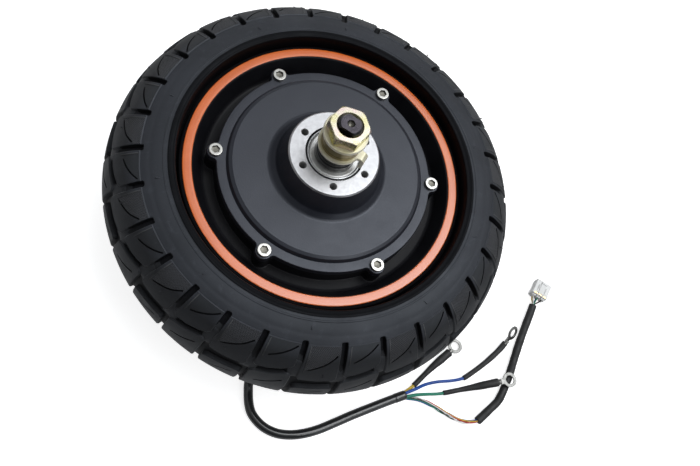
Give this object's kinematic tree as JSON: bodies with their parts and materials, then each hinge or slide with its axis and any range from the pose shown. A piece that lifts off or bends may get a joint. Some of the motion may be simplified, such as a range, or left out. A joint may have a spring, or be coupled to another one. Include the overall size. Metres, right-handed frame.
{
  "type": "hub motor wheel",
  "caption": "Gearless hub motor wheel: pneumatic tyre on a cast rim with a built-in rotor, bolted side covers, brake-disc flange, threaded axle with nuts, and cable with ring terminals.",
  "frame": {"origin": "centre of the axle's flat end face on the cable side, the lowest point of the object as it lies with the brake-disc side up", "axes": "+Z along the axle, from the cable side to the brake-disc side; the cable leaves the axle towards -Y and its plug lies towards +X"},
  "size_m": [0.3384, 0.2915, 0.1679],
  "materials": {
    "tyre_rubber": "matte moulded rubber",
    "rim_gloss_black": "gloss black paint on cast aluminium",
    "stripe_orange": "satin orange, smooth",
    "cover_charcoal": "semi-matte charcoal paint, machined flange face",
    "screw_stainless": "bright stainless",
    "valve_metal": "plated",
    "sleeve_black": "matte heat-shrink",
    "core_steel": "laminated, lacquered",
    "magnet_nickel": "nickel plated, set in resin",
    "winding_copper": "enamelled copper",
    "cast_aluminium": "as cast",
    "board_green": "solder mask",
    "bearing_steel": "ground bearing steel",
    "shield_steel": "pressed sheet",
    "axle_black_oxide": "black oxide",
    "zinc_yellow": "yellow zinc passivated",
    "cable_pvc": "smooth PVC jacket",
    "wire_yellow": "PVC insulation",
    "wire_blue": "PVC insulation",
    "wire_green": "PVC insulation",
    "terminal_tinned": "tin plated",
    "connector_nylon": "translucent white nylon"
  },
  "bodies": {
    "axle_assembly": {"axle": "axle_black_oxide", "stator_support": "cast_aluminium", "stator_core": "core_steel", "winding_phase_a": "winding_copper", "winding_phase_b": "winding_copper", "winding_phase_c": "winding_copper", "hall_board": "board_green", "bearing_inner_brake": "bearing_steel", "bearing_inner_cable": "bearing_steel", "spacer_brake": "axle_black_oxide", "spacer_cable": "axle_black_oxide", "tab_washer_brake": "zinc_yellow", "tab_washer_cable": "zinc_yellow", "spacer_collar_brake": "zinc_yellow", "flat_washer_brake": "zinc_yellow", "axle_nut_brake": "zinc_yellow", "axle_nut_cable": "zinc_yellow", "cable_grommet": "sleeve_black", "cable_jacket": "cable_pvc", "phase_lead_yellow": "wire_yellow", "phase_lead_blue": "wire_blue", "phase_lead_green": "wire_green", "sleeve_yellow": "sleeve_black", "sleeve_blue": "sleeve_black", "sleeve_green": "sleeve_black", "terminal_yellow": "terminal_tinned", "terminal_blue": "terminal_tinned", "terminal_green": "terminal_tinned", "hall_wires": "wire_yellow", "hall_sleeve": "sleeve_black", "hall_connector": "connector_nylon"},
    "wheel": {"tyre": "tyre_rubber", "rim": "rim_gloss_black", "stripe_ring_brake": "stripe_orange", "stripe_ring_cable": "stripe_orange", "valve_stem": "valve_metal", "valve_cap": "sleeve_black", "flux_ring": "core_steel", "magnet_ring": "magnet_nickel", "cover_brake": "cover_charcoal", "cover_cable": "cover_charcoal", "cover_screw_brake_1": "screw_stainless", "cover_screw_brake_2": "screw_stainless", "cover_screw_brake_3": "screw_stainless", "cover_screw_brake_4": "screw_stainless", "cover_screw_brake_5": "screw_stainless", "cover_screw_brake_6": "screw_stainless", "cover_screw_cable_1": "screw_stainless", "cover_screw_cable_2": "screw_stainless", "cover_screw_cable_3": "screw_stainless", "cover_screw_cable_4": "screw_stainless", "cover_screw_cable_5": "screw_stainless", "cover_screw_cable_6": "screw_stainless", "bearing_outer_brake": "bearing_steel", "bearing_outer_cable": "bearing_steel", "bearing_shield_brake": "shield_steel"},
    "balls_brake": {"balls_brake": "bearing_steel"},
    "balls_cable": {"balls_cable": "bearing_steel"}
  },
  "joints": [
    {"name": "wheel_spin", "type": "hinge", "parent": "axle_assembly", "child": "wheel", "pos_m": [0, 0, 0.075], "axis": [0, 0, 1], "continuous": true},
    {"name": "balls_brake_spin", "type": "hinge", "parent": "axle_assembly", "child": "balls_brake", "pos_m": [0, 0, 0.1246], "axis": [0, 0, 1], "continuous": true},
    {"name": "balls_cable_spin", "type": "hinge", "parent": "axle_assembly", "child": "balls_cable", "pos_m": [0, 0, 0.0345], "axis": [0, 0, 1], "continuous": true}
  ],
  "couplings": [
    {"joint": "balls_brake_spin", "follows": "wheel_spin", "ratio": 0.618},
    {"joint": "balls_cable_spin", "follows": "wheel_spin", "ratio": 0.618}
  ]
}
